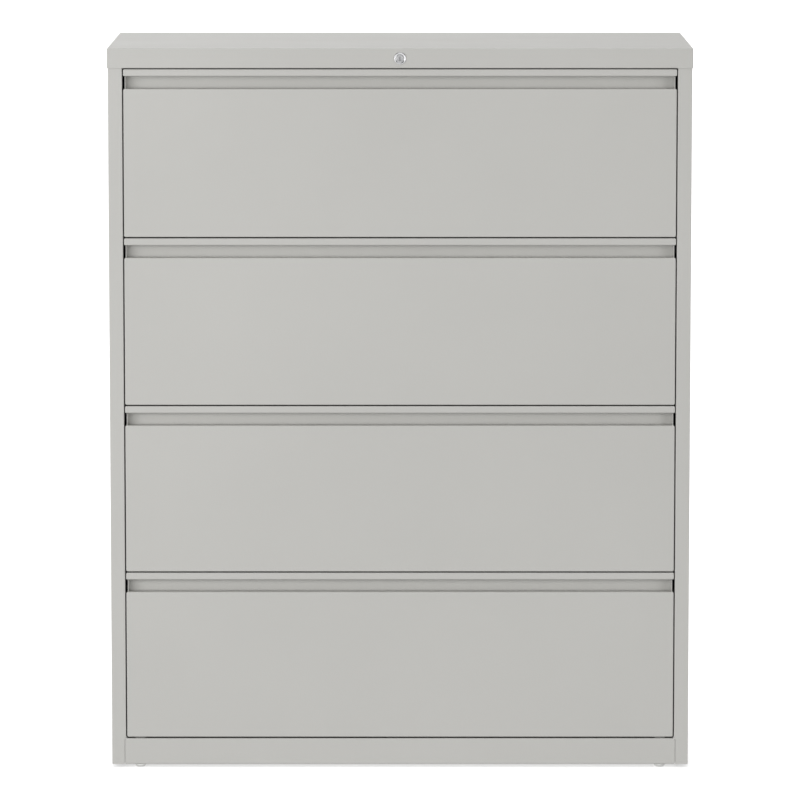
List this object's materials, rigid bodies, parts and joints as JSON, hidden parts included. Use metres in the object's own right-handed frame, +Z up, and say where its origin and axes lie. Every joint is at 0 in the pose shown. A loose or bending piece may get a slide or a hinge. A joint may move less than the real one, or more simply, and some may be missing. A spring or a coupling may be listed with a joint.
{
  "type": "filing cabinet",
  "caption": "Wide lateral filing cabinet in painted sheet steel, with full-width recessed pulls, full-extension drawers, a turning key lock that bars the drawers and levelling glides.",
  "frame": {"origin": "on the floor, under the middle of the cabinet", "axes": "+X to the right as seen from the front, +Y from the front to the back, +Z up"},
  "size_m": [1.067, 0.4756, 1.3295],
  "materials": {
    "case_paint": "fine-textured satin powder coat",
    "zinc_steel": "bright zinc-plated",
    "ball_steel": "polished",
    "cast_iron": "rough",
    "black_rubber": "matte",
    "black_plastic": "matte",
    "lock_chrome": "polished",
    "lock_steel": "satin nickel",
    "nylon": "natural nylon"
  },
  "bodies": {
    "case": {"side_panel_left": "case_paint", "side_panel_right": "case_paint", "back_panel": "case_paint", "top_cap": "case_paint", "top_front_rail": "case_paint", "bottom_pan": "case_paint", "base_rail_front": "case_paint", "base_rail_rear": "case_paint", "uprights_front": "zinc_steel", "uprights_rear": "zinc_steel", "corner_brackets": "zinc_steel", "counterweight": "cast_iron", "counterweight_bolts": "zinc_steel", "back_screws": "zinc_steel", "slide_outer_left": "zinc_steel", "slide_outer_right": "zinc_steel", "slide_bumpers": "black_rubber", "lock_housing": "lock_chrome", "lock_nut": "zinc_steel", "lock_guides": "black_plastic"},
    "lock_plug": {"lock_plug": "lock_steel", "lock_cam": "zinc_steel"},
    "lock_rod": {"lock_rod": "zinc_steel"},
    "lock_bar": {"lock_bar": "zinc_steel"},
    "glide_front_left": {"glide_front_left": "nylon"},
    "glide_front_right": {"glide_front_right": "nylon"},
    "glide_rear_left": {"glide_rear_left": "nylon"},
    "glide_rear_right": {"glide_rear_right": "nylon"},
    "drawer_1": {"drawer_1_front": "case_paint", "drawer_1_liner": "case_paint", "drawer_1_box": "case_paint", "drawer_1_hang_rails": "zinc_steel", "drawer_1_slide_inner": "zinc_steel", "drawer_1_catch": "zinc_steel"},
    "slide_mid_1": {"drawer_1_slide_mid": "zinc_steel", "drawer_1_ball_cages": "ball_steel"},
    "drawer_2": {"drawer_2_front": "case_paint", "drawer_2_liner": "case_paint", "drawer_2_box": "case_paint", "drawer_2_hang_rails": "zinc_steel", "drawer_2_slide_inner": "zinc_steel", "drawer_2_catch": "zinc_steel"},
    "slide_mid_2": {"drawer_2_slide_mid": "zinc_steel", "drawer_2_ball_cages": "ball_steel"},
    "drawer_3": {"drawer_3_front": "case_paint", "drawer_3_liner": "case_paint", "drawer_3_box": "case_paint", "drawer_3_hang_rails": "zinc_steel", "drawer_3_slide_inner": "zinc_steel", "drawer_3_catch": "zinc_steel"},
    "slide_mid_3": {"drawer_3_slide_mid": "zinc_steel", "drawer_3_ball_cages": "ball_steel"},
    "drawer_4": {"drawer_4_front": "case_paint", "drawer_4_liner": "case_paint", "drawer_4_box": "case_paint", "drawer_4_hang_rails": "zinc_steel", "drawer_4_slide_inner": "zinc_steel", "drawer_4_catch": "zinc_steel"},
    "slide_mid_4": {"drawer_4_slide_mid": "zinc_steel", "drawer_4_ball_cages": "ball_steel"}
  },
  "joints": [
    {"name": "drawer_1_slide", "type": "slide", "parent": "case", "child": "drawer_1", "axis": [0, -1, 0], "range_m": [0, 0.38]},
    {"name": "drawer_2_slide", "type": "slide", "parent": "case", "child": "drawer_2", "axis": [0, -1, 0], "range_m": [0, 0.38]},
    {"name": "drawer_3_slide", "type": "slide", "parent": "case", "child": "drawer_3", "axis": [0, -1, 0], "range_m": [0, 0.38]},
    {"name": "drawer_4_slide", "type": "slide", "parent": "case", "child": "drawer_4", "axis": [0, -1, 0], "range_m": [0, 0.38]},
    {"name": "slide_mid_1_slide", "type": "slide", "parent": "case", "child": "slide_mid_1", "axis": [0, -1, 0], "range_m": [0, 0.19]},
    {"name": "slide_mid_2_slide", "type": "slide", "parent": "case", "child": "slide_mid_2", "axis": [0, -1, 0], "range_m": [0, 0.19]},
    {"name": "slide_mid_3_slide", "type": "slide", "parent": "case", "child": "slide_mid_3", "axis": [0, -1, 0], "range_m": [0, 0.19]},
    {"name": "slide_mid_4_slide", "type": "slide", "parent": "case", "child": "slide_mid_4", "axis": [0, -1, 0], "range_m": [0, 0.19]},
    {"name": "lock_turn", "type": "hinge", "parent": "case", "child": "lock_plug", "pos_m": [0, -0.2365, 1.31125], "axis": [0, 1, 0], "range_deg": [0, 90]},
    {"name": "lock_rod_slide", "type": "slide", "parent": "case", "child": "lock_rod", "axis": [1, 0, 0], "range_m": [0, 0.0128]},
    {"name": "lock_bar_slide", "type": "slide", "parent": "case", "child": "lock_bar", "axis": [0, 0, 1], "range_m": [0, 0.012]},
    {"name": "glide_front_left_turn", "type": "hinge", "parent": "case", "child": "glide_front_left", "pos_m": [-0.48, -0.224, 0.02], "axis": [0, 0, 1], "continuous": true},
    {"name": "glide_front_right_turn", "type": "hinge", "parent": "case", "child": "glide_front_right", "pos_m": [0.48, -0.224, 0.02], "axis": [0, 0, 1], "continuous": true},
    {"name": "glide_rear_left_turn", "type": "hinge", "parent": "case", "child": "glide_rear_left", "pos_m": [-0.48, 0.219, 0.02], "axis": [0, 0, 1], "continuous": true},
    {"name": "glide_rear_right_turn", "type": "hinge", "parent": "case", "child": "glide_rear_right", "pos_m": [0.48, 0.219, 0.02], "axis": [0, 0, 1], "continuous": true}
  ],
  "couplings": [
    {"joint": "slide_mid_1_slide", "follows": "drawer_1_slide", "ratio": 0.5},
    {"joint": "slide_mid_2_slide", "follows": "drawer_2_slide", "ratio": 0.5},
    {"joint": "slide_mid_3_slide", "follows": "drawer_3_slide", "ratio": 0.5},
    {"joint": "slide_mid_4_slide", "follows": "drawer_4_slide", "ratio": 0.5},
    {"joint": "lock_rod_slide", "follows": "lock_bar_slide", "ratio": 1.0607},
    {"joint": "lock_turn", "follows": "lock_bar_slide", "rad_per_m": 130.9}
  ]
}
